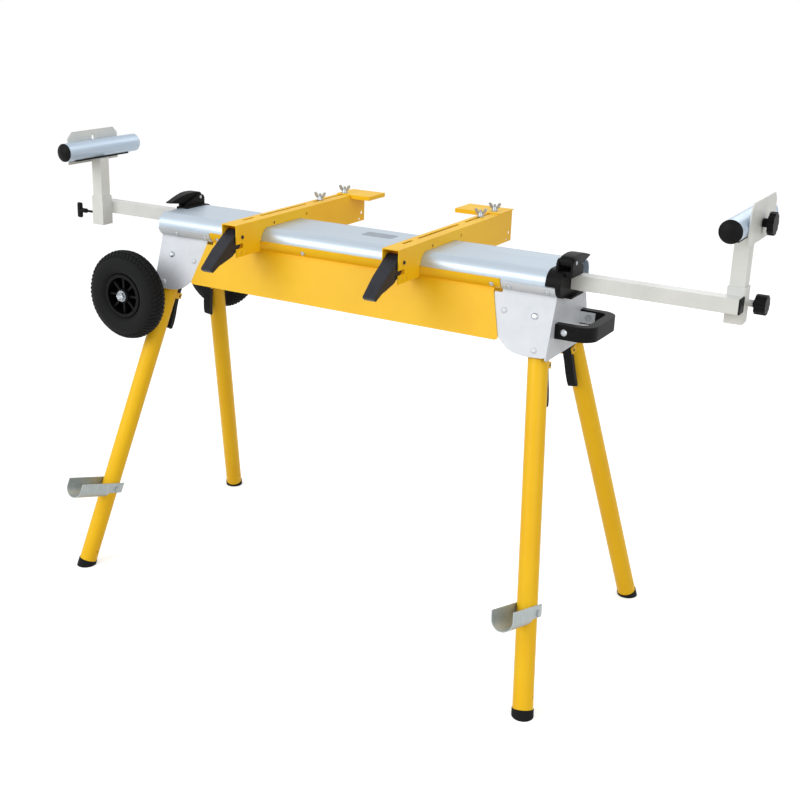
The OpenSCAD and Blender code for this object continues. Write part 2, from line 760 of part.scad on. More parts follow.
// Rail levers: cam handles in the open front ends of the rails
module rail_lever() {
  w = rail_w - 2 * rail_wall;
  difference() {
    union() {
      translate([0, rail_pin_y, rail_pin_z]) bar_x(16, -w / 2 + gap, w / 2 - gap);
      along_x(-w / 2 + 2, w / 2 - 2)
        polygon([[-163, beam_top + 8], [-187, beam_top - 1], [-225, beam_top - 27],
          [-268, beam_top - 60], [-270, beam_top - 64], [-262, beam_top - 70],
          [-240, beam_top - 58], [-195, beam_top - 46], [-165, beam_top - 28]]);
      translate([0, rail_pin_y, rail_pin_z]) bar_x(rail_pin, -rail_w / 2 - 2, rail_w / 2 + 2);
    }
    linear_extrude(1000)
      polygon([[-w, -230], [-w, -290], [-13.5, -290], [-13.5, -268], [-16, -230]]);
    linear_extrude(1000)
      polygon([[w, -230], [w, -290], [13.5, -290], [13.5, -268], [16, -230]]);
  }
}
module rail_lever_left() color(dark_grey) translate([rail_x_left, 0, 0]) rail_lever();
module rail_lever_right() color(dark_grey) translate([rail_x_right, 0, 0]) rail_lever();

// Wing plates: side rests on the rear of the rails, held by wing nuts
module wing_plate(reach) {
  z0 = rail_top + gap;
  box(-rail_w / 2, reach, wing_front, wing_rear, z0, z0 + 2);
  box(reach - 2, reach, wing_front, wing_rear, z0 - 8, z0 + 1);
  box(rail_w / 2 + 2, reach, wing_front, wing_front + 2, z0 - 8, z0 + 1);
  box(rail_w / 2 + 2, reach, wing_rear - 2, wing_rear, z0 - 8, z0 + 1);
}
wing_reach_left = rail_x_left * -1 - 151;
wing_reach_right = rail_x_right - 88;
nuts_left = [190, 303];
nuts_right = [240, 315];
module wing_plate_left() {
  color(yellow) translate([rail_x_left, 0, 0]) difference() {
    wing_plate(wing_reach_left);
    for (y = nuts_left) translate([slot_off, y, 0]) bar_z(bolt_bore, rail_top - 2, rail_top + 8);
  }
}
module wing_plate_right() {
  color(yellow) translate([rail_x_right, 0, 0]) difference() {
    flip_x() wing_plate(wing_reach_right);
    for (y = nuts_right) translate([slot_off, y, 0]) bar_z(bolt_bore, rail_top - 2, rail_top + 8);
  }
}
module wing_nut(y, on_plate) {
  z0 = rail_top + gap + (on_plate ? 2 : 0);
  translate([slot_off, y, 0]) {
    bar_z(bolt_r, rail_top - rail_wall - 4, z0 + 16);
    bar_z(6, rail_top - rail_wall - 4, rail_top - rail_wall - gap);
    bar_z(8, z0, z0 + 1.5);
    translate([0, 0, z0 + 1.4]) cylinder(r1 = 6.5, r2 = 5, h = 8);
    for (s = [-1, 1]) translate([0, 0, z0 + 2]) rotate([90, 0, 20]) translate([0, 0, -1.5])
      linear_extrude(3)
        polygon([[s * 3, 0], [s * 11, 6], [s * 15, 15], [s * 12, 18], [s * 8, 16], [s * 3, 7]]);
  }
}
module wing_nuts_left() {
  color(zinc) translate([rail_x_left, 0, 0]) {
    wing_nut(nuts_left[0], false);
    wing_nut(nuts_left[1], true);
  }
}
module wing_nuts_right() {
  color(zinc) translate([rail_x_right, 0, 0]) {
    wing_nut(nuts_right[0], false);
    wing_nut(nuts_right[1], true);
  }
}

// Legs: round tubes with a welded cross bush at the pivot and lugs for the lock lever
module leg(toe, front) {
  difference() {
    union() {
      bar_z(leg_r, -leg_down + 9, 16);
      rotate([0, 0, -toe]) bar_y(8, -plate_in + 0.6, leg_r + 3);
      for (s = [-1, 1])
        box(s * 13 - 2, s * 13 + 2, 14, lever_y + 6, lever_z - 7, lever_z + 7);
    }
    difference() {
      bar_z(leg_r - leg_wall, -leg_down + 8, 17);
      rotate([0, 0, -toe]) bar_y(8, -plate_in, leg_r + 4);
      bar_z(leg_r, 14, 15.9);
    }
    rotate([0, 0, -toe]) bar_y(pivot_r + run, -leg_r - 10, leg_r + 10);
    translate([0, 0, lock_z]) bar_y(lock_r + 0.4, -leg_r - 5, leg_r + 5);
    translate([0, 0, lock_z + 6.6]) bar_y(lock_r + 0.4, -leg_r - 5, leg_r + 5);
    box(-lock_r - 0.4, lock_r + 0.4, -leg_r - 5, leg_r + 5, lock_z, lock_z + 6.6);
    translate([0, lever_y, lever_z]) bar_x(lever_pin + run, -20, 20);
    translate([0, 0, -leg_down + 40]) bar_x(2.5, -leg_r - 5, leg_r + 5);
    if (front) translate([0, 0, hook_z]) bar_x(hook_pin + run, -leg_r - 5, leg_r + 5);
  }
}
module leg_front_right() color(yellow) leg_frame() leg(right_toe, true);
module leg_rear_right() color(yellow) flip_y() leg_frame() leg(right_toe, false);
module leg_front_left() color(yellow) flip_x() leg_frame() leg(0, true);
module leg_rear_left() color(yellow) flip_x() flip_y() leg_frame() leg(0, false);

// Feet: rubber caps cut level with the floor
module foot() {
  difference() {
    leg_frame() difference() {
      bar_z(foot_r, -leg_down - 12, -leg_down + foot_h);
      bar_z(leg_r + 0.05, -leg_down + 8.9, -leg_down + foot_h + 1);
    }
    translate([pivot_x, -400, -100]) cube([300, 300, 100]);
  }
}
module foot_front_right() color(black) foot();
module foot_rear_right() color(black) flip_y() foot();
module foot_front_left() color(black) flip_x() foot();
module foot_rear_left() color(black) flip_x() flip_y() foot();

// Lock levers: squeeze handles on the inner side of each leg with a lock pin
module lock_lever() {
  translate([0, lever_y, lever_z]) bar_x(lever_pin, -15.5, 15.5);
  translate([0, 0, lock_z]) bar_y(lock_r, -plate_in + gap, 26);
  along_x(-9.7, 9.7)
    polygon([[22, -59], [28, -57], [33, -60], [35, -72], [35, -100], [38, -122],
      [43, -145], [45, -165], [44, -177], [40, -181], [35, -179], [34, -165],
      [31, -145], [27, -122], [24, -106], [22, -98]]);
}
module lock_lever_front_right() color(black) leg_frame() lock_lever();
module lock_lever_rear_right() color(black) flip_y() leg_frame() lock_lever();
module lock_lever_front_left() color(black) flip_x() leg_frame() lock_lever();
module lock_lever_rear_left() color(black) flip_x() flip_y() leg_frame() lock_lever();

// Hooks: folding channels on the front legs that hold a rolled cord or a panel
module hook() {
  translate([0, 0, hook_z]) {
    bar_x(hook_pin, -hook_r - 4, hook_r + 4);
    for (s = [0, 1]) mirror([s, 0, 0]) bar_x(7, hook_r + hook_wall - 0.2, hook_r + 5);
    difference() {
      union() {
        translate([0, 0, -0.6]) bar_y(hook_r + hook_wall, -128, 21);
        box(-hook_r - hook_wall, hook_r + hook_wall, -128, 21, -0.6, 17);
      }
      translate([0, 0, -0.6]) bar_y(hook_r, -130, 30);
      box(-hook_r, hook_r, -130, 30, -0.6, 30);
      box(-hook_r - 0.1, hook_r + 0.1, -22.5, 30, -30, -3);
      box(-40, 40, -22.5, 30, -30, -12);
    }
  }
}
module hook_right() color(galv) leg_frame() hook();
module hook_left() color(galv) flip_x() leg_frame() hook();

stand() beam();
stand() skirt_front();
stand() skirt_rear();
stand() end_bracket_left();
stand() end_bracket_right();
stand() flange_screws();
stand() leg_pivot_bolts();
stand() carry_handle();
stand() end_bolts();
stand() clamp_block_left();
stand() clamp_block_right();
stand() cam_pins();
stand() wheel_bracket();
stand() wheel_axle();
stand() tyre_front();
stand() tyre_rear();
stand() rim_front();
stand() rim_rear();
stand() cam_lever_left();
stand() cam_lever_right();
stand() arm_left();
stand() arm_right();
stand() arm_plug_left();
stand() arm_plug_right();
stand() post_left();
stand() post_right();
stand() post_knob_left();
stand() post_knob_right();
stand() saddle_left();
stand() saddle_right();
stand() support_tube_left();
stand() support_tube_right();
stand() tube_caps_left();
stand() tube_caps_right();
stand() stop_plate_left();
stand() stop_plate_right();
stand() stop_knob_left();
stand() stop_knob_right();
stand() saw_rail_left();
stand() saw_rail_right();
stand() rail_lever_left();
stand() rail_lever_right();
stand() wing_plate_left();
stand() wing_plate_right();
stand() wing_nuts_left();
stand() wing_nuts_right();
stand() leg_front_left();
stand() leg_front_right();
stand() leg_rear_left();
stand() leg_rear_right();
stand() foot_front_left();
stand() foot_front_right();
stand() foot_rear_left();
stand() foot_rear_right();
stand() lock_lever_front_left();
stand() lock_lever_front_right();
stand() lock_lever_rear_left();
stand() lock_lever_rear_right();
stand() hook_left();
stand() hook_right();
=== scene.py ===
import json
import math

import bmesh
import bpy
from mathutils import Matrix, Vector


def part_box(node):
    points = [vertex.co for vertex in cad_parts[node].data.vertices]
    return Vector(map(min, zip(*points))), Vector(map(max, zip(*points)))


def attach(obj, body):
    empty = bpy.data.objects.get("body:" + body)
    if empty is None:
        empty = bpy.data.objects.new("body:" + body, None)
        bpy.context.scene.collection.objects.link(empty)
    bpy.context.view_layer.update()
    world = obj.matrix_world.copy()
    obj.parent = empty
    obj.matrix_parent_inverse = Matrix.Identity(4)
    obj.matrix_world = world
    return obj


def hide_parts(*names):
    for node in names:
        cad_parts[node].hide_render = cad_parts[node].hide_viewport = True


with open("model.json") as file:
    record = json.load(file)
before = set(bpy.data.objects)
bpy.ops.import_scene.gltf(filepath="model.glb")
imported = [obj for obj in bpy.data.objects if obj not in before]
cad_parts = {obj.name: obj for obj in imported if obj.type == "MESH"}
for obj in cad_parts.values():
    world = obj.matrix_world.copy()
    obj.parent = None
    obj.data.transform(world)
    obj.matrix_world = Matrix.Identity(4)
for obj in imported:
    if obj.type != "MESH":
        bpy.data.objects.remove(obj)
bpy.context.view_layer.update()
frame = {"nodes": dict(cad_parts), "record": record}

cad = frame["nodes"]

# Stage: a pale studio floor, three soft lamps and the white of the backdrop.
# The camera stands where the photograph was taken from, in front of the right
# end and above it, with the picture's own crop given as lens shift.
MM = 0.001
VIEW_YAW = math.radians(31.692)
VIEW_PITCH = math.radians(18.662)
VIEW_ROLL = math.radians(1.110)
CAMERA_AT = (1.3747, -2.3144, 1.4243)
LENS_MM, SENSOR_MM = 55.26, 36
CROP_SHIFT = (0.0663, -0.0231)
SKY_LOW, SKY_HIGH = 0.52, 0.78
SKY_BAND = (0.2, 0.8)  # sine of the height where it starts and stops brightening
FLOOR_HALF = 40.0
FLOOR_LIFT = 0.45
LAMPS = (  # name, place, the point it faces, width in metres, watts
    ("soft lamp left", (-1.8, -3.4, 2.4), (0, 0, 0.7), 2.2, 68),
    ("soft lamp right", (3.2, -2.2, 2.2), (0, 0, 0.7), 1.8, 28),
    ("soft lamp back", (0.4, 3.2, 2.8), (0, 0, 0.8), 2.0, 20))


def linear(code):
    """An sRGB hex colour as linear red, green, blue and alpha."""
    parts = [int(code[i:i + 2], 16) / 255 for i in (1, 3, 5)]
    return [c / 12.92 if c <= 0.04045 else ((c + 0.055) / 1.055) ** 2.4 for c in parts] + [1.0]


def wire(tree, kind, settings=None, feeds=None):
    """A new node with its settings, fed from the outputs named in feeds."""
    node = tree.nodes.new(kind)
    for name, value in (settings or {}).items():
        if isinstance(name, str) and hasattr(node, name):
            setattr(node, name, value)
        else:
            node.inputs[name].default_value = value
    for name, source in (feeds or {}).items():
        tree.links.new(source, node.inputs[name])
    return node


def backdrop_rays(tree):
    """1 for the camera's own rays and for those through glass or off metal."""
    rays = wire(tree, "ShaderNodeLightPath")
    clear = wire(tree, "ShaderNodeMath", {"operation": "MAXIMUM"},
                 {0: rays.outputs["Is Camera Ray"], 1: rays.outputs["Is Transmission Ray"]})
    seen = wire(tree, "ShaderNodeMath", {"operation": "MAXIMUM"},
                {0: clear.outputs[0], 1: rays.outputs["Is Glossy Ray"]})
    return seen.outputs[0]


sight = Vector((-math.sin(VIEW_YAW) * math.cos(VIEW_PITCH),
                math.cos(VIEW_YAW) * math.cos(VIEW_PITCH), -math.sin(VIEW_PITCH)))
level = Vector((math.cos(VIEW_YAW), math.sin(VIEW_YAW), 0))
upright = level.cross(sight)
across = level * math.cos(VIEW_ROLL) + upright * math.sin(VIEW_ROLL)
upward = upright * math.cos(VIEW_ROLL) - level * math.sin(VIEW_ROLL)
lens = bpy.data.cameras.new("photo view")
lens.lens = LENS_MM
lens.sensor_width = SENSOR_MM
lens.shift_x, lens.shift_y = CROP_SHIFT
camera = bpy.data.objects.new("photo view", lens)
turn = Matrix((across, upward, -sight)).transposed().to_4x4()
camera.matrix_world = Matrix.Translation(CAMERA_AT) @ turn
bpy.context.scene.collection.objects.link(camera)
bpy.context.scene.camera = camera

bpy.context.scene.view_settings.view_transform = "Standard"

world = bpy.data.worlds.new("studio")
bpy.context.scene.world = world
world.use_nodes = True
sky = world.node_tree
sky.nodes.clear()
heading = wire(sky, "ShaderNodeTexCoord")
height = wire(sky, "ShaderNodeSeparateXYZ", None, {0: heading.outputs["Generated"]})
ceiling = wire(sky, "ShaderNodeMapRange",
               {"From Min": SKY_BAND[0], "From Max": SKY_BAND[1],
                "To Min": SKY_LOW, "To Max": SKY_HIGH}, {"Value": height.outputs["Z"]})
glow = wire(sky, "ShaderNodeBackground", {"Color": linear("#FFFFFF")},
            {"Strength": ceiling.outputs["Result"]})
glare = wire(sky, "ShaderNodeBackground", {"Color": linear("#FFFFFF"), "Strength": 1.0})
pick = wire(sky, "ShaderNodeMixShader", None,
            {0: backdrop_rays(sky), 1: glow.outputs[0], 2: glare.outputs[0]})
wire(sky, "ShaderNodeOutputWorld", None, {"Surface": pick.outputs[0]})

floor_mesh = bpy.data.meshes.new("studio floor")
floor_mesh.from_pydata([(-FLOOR_HALF, -FLOOR_HALF, 0), (FLOOR_HALF, -FLOOR_HALF, 0),
                        (FLOOR_HALF, FLOOR_HALF, 0), (-FLOOR_HALF, FLOOR_HALF, 0)],
                       [], [(0, 1, 2, 3)])
floor = bpy.data.objects.new("studio floor", floor_mesh)
bpy.context.scene.collection.objects.link(floor)
paper = bpy.data.materials.new("white paper sweep")
paper.use_nodes = True
sweep = paper.node_tree
sweep.nodes.clear()
matt = wire(sweep, "ShaderNodeBsdfDiffuse", {"Color": linear("#E6E6E6")})
bounce = wire(sweep, "ShaderNodeBsdfDiffuse", {"Color": linear("#AFA798")})
lift = wire(sweep, "ShaderNodeEmission", {"Color": linear("#FFFFFF"), "Strength": FLOOR_LIFT})
lit = wire(sweep, "ShaderNodeAddShader", None, {0: matt.outputs[0], 1: lift.outputs[0]})
pick = wire(sweep, "ShaderNodeMixShader", None,
            {0: backdrop_rays(sweep), 1: bounce.outputs[0], 2: lit.outputs[0]})
wire(sweep, "ShaderNodeOutputMaterial", None, {"Surface": pick.outputs[0]})
floor_mesh.materials.append(paper)

for name, place, target, size, watts in LAMPS:
    lamp = bpy.data.lights.new(name, "AREA")
    lamp.size = size
    lamp.energy = watts
    stand = bpy.data.objects.new(name, lamp)
    stand.location = place
    stand.rotation_euler = (Vector(target) - Vector(place)).to_track_quat("-Z", "Y").to_euler()
    bpy.context.scene.collection.objects.link(stand)


# Beam: one aluminium extrusion, sawn to length and clear anodised. The die
# leaves faint lines along it, drawn coarser here than they are, which give a
# soft streaked sheen, bright on the round edges and flat grey-blue on top.
DRIFT_DETAIL, DRIFT_ROUGHNESS = 3.0, 0.55
GRAIN_DETAIL, GRAIN_ROUGHNESS = 2.0, 0.6
GRAIN_BAND = (0.25, 0.75)
TINT_BELOW, TINT_ABOVE = 0.5, 0.3  # how far a full mottle spreads from the middle
WELD = 0.002 * MM
FLAT_ANGLE = math.radians(0.4)
EDGE_ANGLE = math.radians(32)
EDGE_STEPS = 2
FACE_WEIGHT = 100


def finish(name, main, low, rough, metal=0.0, mottle_mm=80.0, mottle=0.5, grain_mm=1.0,
           grain_depth_mm=0.02, stretch=(1, 1, 1), rough_spread=0.05, shine=0.5):
    """A material whose colour drifts between two hex values over mottle_mm, with a
    surface grain of grain_mm that is grain_depth_mm deep. Stretch below 1 draws
    both out along that axis."""
    made = bpy.data.materials.new(name)
    made.use_nodes = True
    made.diffuse_color = linear(main)
    tree = made.node_tree
    tree.nodes.clear()
    spot = wire(tree, "ShaderNodeTexCoord")
    stretched = wire(tree, "ShaderNodeMapping", {"Scale": stretch},
                     {"Vector": spot.outputs["Object"]})
    drift = wire(tree, "ShaderNodeTexNoise",
                 {"Scale": 1 / (mottle_mm * MM), "Detail": DRIFT_DETAIL,
                  "Roughness": DRIFT_ROUGHNESS},
                 {"Vector": stretched.outputs[0]})
    tint = wire(tree, "ShaderNodeValToRGB", None, {"Fac": drift.outputs["Fac"]})
    dark_end, light_end = tint.color_ramp.elements
    dark_end.position = 0.5 - TINT_BELOW * mottle
    dark_end.color = linear(low)
    light_end.position = 0.5 + TINT_ABOVE * mottle
    light_end.color = linear(main)
    grain = wire(tree, "ShaderNodeTexNoise",
                 {"Scale": 1 / (grain_mm * MM), "Detail": GRAIN_DETAIL,
                  "Roughness": GRAIN_ROUGHNESS},
                 {"Vector": stretched.outputs[0]})
    dull = wire(tree, "ShaderNodeMapRange",
                {"From Min": GRAIN_BAND[0], "From Max": GRAIN_BAND[1],
                 "To Min": rough - rough_spread, "To Max": rough + rough_spread},
                {"Value": grain.outputs["Fac"]})
    relief = wire(tree, "ShaderNodeBump", {"Strength": 1.0, "Distance": grain_depth_mm * MM},
                  {"Height": grain.outputs["Fac"]})
    shader = wire(tree, "ShaderNodeBsdfPrincipled",
                  {"Metallic": metal, "Specular IOR Level": shine},
                  {"Base Color": tint.outputs["Color"], "Roughness": dull.outputs["Result"],
                   "Normal": relief.outputs["Normal"]})
    wire(tree, "ShaderNodeOutputMaterial", None, {"Surface": shader.outputs[0]})
    return made


def dress(material, *names):
    """Gives CAD nodes a finish."""
    for name in names:
        for place in cad[name].material_slots:
            place.material = material
        if not cad[name].material_slots:
            cad[name].data.materials.append(material)


def eased(material, width_mm, *names):
    """Stands for CAD nodes with copies whose sharp edges are rounded over."""
    for name in names:
        shape = bmesh.new()
        shape.from_mesh(cad[name].data)
        bmesh.ops.remove_doubles(shape, verts=shape.verts, dist=WELD)
        bmesh.ops.dissolve_degenerate(shape, edges=shape.edges, dist=WELD)
        bmesh.ops.dissolve_limit(shape, angle_limit=FLAT_ANGLE, verts=shape.verts,
                                 edges=shape.edges)
        flat = bpy.data.meshes.new(name + "_shape")
        shape.to_mesh(flat)
        shape.free()
        rough_copy = bpy.data.objects.new(name + "_shape", flat)
        bpy.context.scene.collection.objects.link(rough_copy)
        edge = rough_copy.modifiers.new("rounded edges", "BEVEL")
        edge.width = width_mm * MM
        edge.segments = EDGE_STEPS
        edge.limit_method = "ANGLE"
        edge.angle_limit = EDGE_ANGLE
        even = rough_copy.modifiers.new("even shading", "WEIGHTED_NORMAL")
        even.mode = "FACE_AREA"
        even.weight = FACE_WEIGHT
        even.keep_sharp = True
        flat.shade_smooth()
        rounded = bpy.data.meshes.new_from_object(
            rough_copy.evaluated_get(bpy.context.evaluated_depsgraph_get()))
        bpy.data.objects.remove(rough_copy)
        bpy.data.meshes.remove(flat)
        rounded.materials.clear()
        rounded.materials.append(material)
        piece = bpy.data.objects.new(name + "_eased", rounded)
        bpy.context.scene.collection.objects.link(piece)
        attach(piece, body_of[name])
        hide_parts(name)


body_of = {node: body for body, nodes in frame["record"]["behaviour"]["bodies"].items()
           for node in nodes}
anodised = finish("anodised aluminium extrusion", "#C6D3DF", "#B7C5D2", rough=0.42, metal=0.6,
                  mottle_mm=5, mottle=0.9, grain_mm=1.2, grain_depth_mm=0.012,
                  stretch=(0.02, 1, 1), rough_spread=0.08)
dress(anodised, "beam")

# Foil: a blank plate of thin grey foil, each corner notched inwards, stuck flat
# on the beam's top between the rails. Its matt face hardly mirrors the lamps.
FOIL_X, FOIL_Y = (-21, 57), (-9, 29)
FOIL_T, FOIL_CORNER, CORNER_STEPS = 0.25, 4, 5
foil_shape = bmesh.new()
for x, y in ((FOIL_X[0], FOIL_Y[0]), (FOIL_X[1], FOIL_Y[0]), (FOIL_X[1], FOIL_Y[1]),
             (FOIL_X[0], FOIL_Y[1])):
    foil_shape.verts.new((x * MM, y * MM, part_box("beam")[1].z))
foil_shape.faces.new(foil_shape.verts)
bmesh.ops.bevel(foil_shape, geom=foil_shape.verts[:], offset=FOIL_CORNER * MM,
                segments=CORNER_STEPS, affect="VERTICES")
up = bmesh.ops.extrude_face_region(foil_shape, geom=foil_shape.faces[:])
bmesh.ops.translate(foil_shape, vec=(0, 0, FOIL_T * MM),
                    verts=[v for v in up["geom"] if isinstance(v, bmesh.types.BMVert)])
bmesh.ops.recalc_face_normals(foil_shape, faces=foil_shape.faces)
foil_mesh = bpy.data.meshes.new("blank_foil")
foil_shape.to_mesh(foil_mesh)
foil_shape.free()
foil_mesh.materials.append(finish("grey printed foil", "#8B97A6", "#828D9C", rough=0.35,
                                  mottle_mm=12, grain_mm=1.0, grain_depth_mm=0.005))
foil = bpy.data.objects.new("blank_foil", foil_mesh)
bpy.context.scene.collection.objects.link(foil)
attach(foil, "stand_body")

# Skirts: sheet steel aprons screwed to the beam's lower flanks, powder coated.
# The baked powder gives an even semi-gloss yellow with a faint orange peel.
SHEET_EDGE = 0.6
yellow_coat = finish("yellow powder coat", "#FDCA16", "#F9C010", rough=0.45, mottle_mm=120,
                     grain_mm=2.0, grain_depth_mm=0.03, shine=0.32)
eased(yellow_coat, SHEET_EDGE, "skirt_front", "skirt_rear")

# End brackets and wheel bracket: bent steel that carries the leg pivots and the
# axle, in a silver powder coat with a fine grain that reads as light grey.
silver_coat = finish("silver powder coat", "#D8DDE4", "#CED4DC", rough=0.45, metal=0.1,
                     mottle_mm=40, grain_mm=1.2, grain_depth_mm=0.03)
dress(silver_coat, "end_bracket_left", "end_bracket_right", "wheel_bracket")

# Bolts, nuts, pins and the axle: turned steel, zinc plated and bright, with a
# soft cast of blue. They hold the brackets, handle, levers, wheels and plates.
zinc = finish("bright zinc plate", "#B9BEC2", "#A3A9AE", rough=0.34, metal=1.0, mottle_mm=6,
              grain_mm=0.8, grain_depth_mm=0.01)
dress(zinc, "leg_pivot_bolts", "end_bolts", "cam_pins", "wheel_axle",
      "wing_nuts_left", "wing_nuts_right")

# Flange screws: fourteen pan head screws through the sheets into the beam, their
# heads square to the round flank and each with a deep socket that reads dark.
HEAD_PROFILE = (  # radius and height, from the socket's floor out, round and down
    (0.01, -1.0), (2.2, -1.0), (2.3, 2.6), (3.0, 2.6), (3.9, 2.3), (4.9, 1.5),
    (5.4, 0.6), (5.5, 0.0), (3.0, 0.0), (3.0, -7.0), (0.01, -7.0))
SKIRT_SCREWS = (-334, -96, 368)
BRACKET_SCREWS = (-455, -371, 407, 491)
SHIFT_X = -27
FLANK_Y, FLANK_Z = 63.5, 833.5
SKIRT_FACE, BRACKET_FACE = 28.7, 29.2
SCREW_DIP = math.radians(34.4)
HEAD_STEPS = 24
SEAM = 0.001 * MM


def turned(profile, steps):
    """A bmesh swept once round Z from a profile of radius and height in mm."""
    shape = bmesh.new()
    rings = []
    for k in range(steps):
        a = 2 * math.pi * k / steps
        rings.append([shape.verts.new((r * MM * math.cos(a), r * MM * math.sin(a), z * MM))
                      for r, z in profile])
    for k in range(steps):
        here, there = rings[k], rings[(k + 1) % steps]
        for i in range(len(profile) - 1):
            shape.faces.new((here[i], there[i], there[i + 1], here[i + 1]))
    bmesh.ops.remove_doubles(shape, verts=shape.verts, dist=SEAM)
    bmesh.ops.recalc_face_normals(shape, faces=shape.faces)
    return shape


def grown(name, tree, settings, seed_points=None):
    """The plain mesh that a node tree makes with these named inputs."""
    start = bpy.data.meshes.new(name + "_start")
    start.from_pydata(seed_points or [], [], [])
    holder = bpy.data.objects.new(name + "_start", start)
    step = holder.modifiers.new("made by rule", "NODES")
    step.node_group = tree
    for item in tree.interface.items_tree:
        if item.item_type == "SOCKET" and item.in_out == "INPUT" and item.name in settings:
            step[item.identifier] = settings[item.name]
    bpy.context.scene.collection.objects.link(holder)
    bpy.context.view_layer.update()
    made = bpy.data.meshes.new_from_object(
        holder.evaluated_get(bpy.context.evaluated_depsgraph_get()))
    made.name = name
    holder.modifiers.remove(step)
    bpy.data.objects.remove(holder)
    bpy.data.meshes.remove(start)
    return made


def rule_tree(name, inputs):
    """An empty node tree with the named inputs, its input and output nodes."""
    tree = bpy.data.node_groups.new(name, "GeometryNodeTree")
    tree.interface.new_socket(name="Geometry", in_out="INPUT", socket_type="NodeSocketGeometry")
    for label, kind in inputs:
        tree.interface.new_socket(name=label, in_out="INPUT", socket_type="NodeSocket" + kind)
    tree.interface.new_socket(name="Geometry", in_out="OUTPUT", socket_type="NodeSocketGeometry")
    return tree, tree.nodes.new("NodeGroupInput"), tree.nodes.new("NodeGroupOutput")


head = turned(HEAD_PROFILE, HEAD_STEPS)
head_mesh = bpy.data.meshes.new("pan head screw")
head.to_mesh(head_mesh)
head.free()
head_mesh.shade_smooth()
head_object = bpy.data.objects.new("pan head screw", head_mesh)
bpy.context.scene.collection.objects.link(head_object)
screws, given, done = rule_tree("screws on a flank", (("Screw", "Object"), ("Dip", "Float"),
                                                      ("Metal", "Material")))
spot = wire(screws, "GeometryNodeInputPosition")
axes = wire(screws, "ShaderNodeSeparateXYZ", None, {0: spot.outputs[0]})
side = wire(screws, "ShaderNodeMath", {"operation": "SIGN"}, {0: axes.outputs["Y"]})
lean = wire(screws, "ShaderNodeMath", {"operation": "MULTIPLY"},
            {0: side.outputs[0], 1: given.outputs["Dip"]})
tilt = wire(screws, "ShaderNodeCombineXYZ", None, {"X": lean.outputs[0]})
one = wire(screws, "GeometryNodeObjectInfo", None, {"Object": given.outputs["Screw"]})
dots = wire(screws, "GeometryNodeMeshToPoints", None, {"Mesh": given.outputs["Geometry"]})
rows = wire(screws, "GeometryNodeInstanceOnPoints", None,
            {"Points": dots.outputs[0], "Instance": one.outputs["Geometry"],
             "Rotation": tilt.outputs[0]})
real = wire(screws, "GeometryNodeRealizeInstances", None, {0: rows.outputs[0]})
coat_step = wire(screws, "GeometryNodeSetMaterial", None,
                 {"Geometry": real.outputs[0], "Material": given.outputs["Metal"]})
screws.links.new(coat_step.outputs[0], done.inputs[0])
seats = []
for face, places in ((SKIRT_FACE, SKIRT_SCREWS), (BRACKET_FACE, BRACKET_SCREWS)):
    out, down = FLANK_Y + face * math.cos(SCREW_DIP), face * math.sin(SCREW_DIP)
    for x in places:
        for flank in (-1, 1):
            seats.append(((SHIFT_X - flank * x) * MM, flank * out * MM,
                          (FLANK_Z - down) * MM))
screw_mesh = grown("flange_screw_set", screws,
                   {"Screw": head_object, "Dip": -(math.pi / 2 + SCREW_DIP), "Metal": zinc}, seats)
bpy.data.objects.remove(head_object)
screw_set = bpy.data.objects.new("flange_screw_set", screw_mesh)
bpy.context.scene.collection.objects.link(screw_set)
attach(screw_set, "stand_body")
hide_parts("flange_screws")

# Handle, clamp blocks and cam levers: black nylon, bolted or clipped to the
# beam's ends. The spark-eroded mould leaves it matt, and its soft edges are
# what catches the light.
HANDLE_EDGE = 1.2
black_nylon = finish("black moulded nylon", "#0E0E0F", "#09090A", rough=0.5, mottle_mm=30,
                     grain_mm=0.9, grain_depth_mm=0.05, shine=0.12)
eased(black_nylon, HANDLE_EDGE, "carry_handle", "clamp_block_left", "clamp_block_right",
      "cam_lever_left", "cam_lever_right")

# Rims: black nylon spoked wheels, moulded in one piece with their hubs, which
# turn on the axle. They have the handle's matt black.
dress(black_nylon, "rim_front", "rim_rear")

# Tyres: solid rubber with a round section. Angled lugs stand in four rows
# round the crown and shoulders, and one low rib runs round each plain sidewall.
rubber = finish("black rubber", "#0F1011", "#0A0B0C", rough=0.75, mottle_mm=25, grain_mm=0.8,
                grain_depth_mm=0.06, shine=0.2)
TYRE_RING, TYRE_SECTION, TYRE_BEAD = 76.4, 28.6, 52.3
TYRE_X, TYRE_Y, TYRE_Z = -561, 181, 676
LUGS = 58
LUG_HEIGHT, LUG_WIDTH, LUG_LENGTH = 2.6, 5.4, 13
LUG_ROWS = (  # lean from the crown, twist of each lug and start, in lug steps
    (13, 32, 0.0), (-13, -32, 0.5), (40, 24, 0.5), (-40, -24, 0.0))
TYRE_STEPS, WALL_STEPS = 96, 34
RIB_RADIUS, RIB_HALF, RIB_SWELL = 62.5, 1.6, 1.025
tread, given, done = rule_tree("tyre tread", (
    ("Lug count", "Int"), ("Ring radius", "Float"), ("Section radius", "Float"),
    ("Lug height", "Float"), ("Lug width", "Float"), ("Lug length", "Float"),
    ("Rubber", "Material")))
lug_size = wire(tread, "ShaderNodeCombineXYZ", None,
                {"X": given.outputs["Lug height"], "Y": given.outputs["Lug width"],
                 "Z": given.outputs["Lug length"]})
lug = wire(tread, "GeometryNodeMeshCube", None, {"Size": lug_size.outputs[0]})
all_rows = wire(tread, "GeometryNodeJoinGeometry")
order = wire(tread, "GeometryNodeInputIndex")
share = wire(tread, "ShaderNodeMath", {"operation": "DIVIDE", 0: 2 * math.pi},
             {1: given.outputs["Lug count"]})
spin = wire(tread, "ShaderNodeMath", {"operation": "MULTIPLY"},
            {0: order.outputs[0], 1: share.outputs[0]})
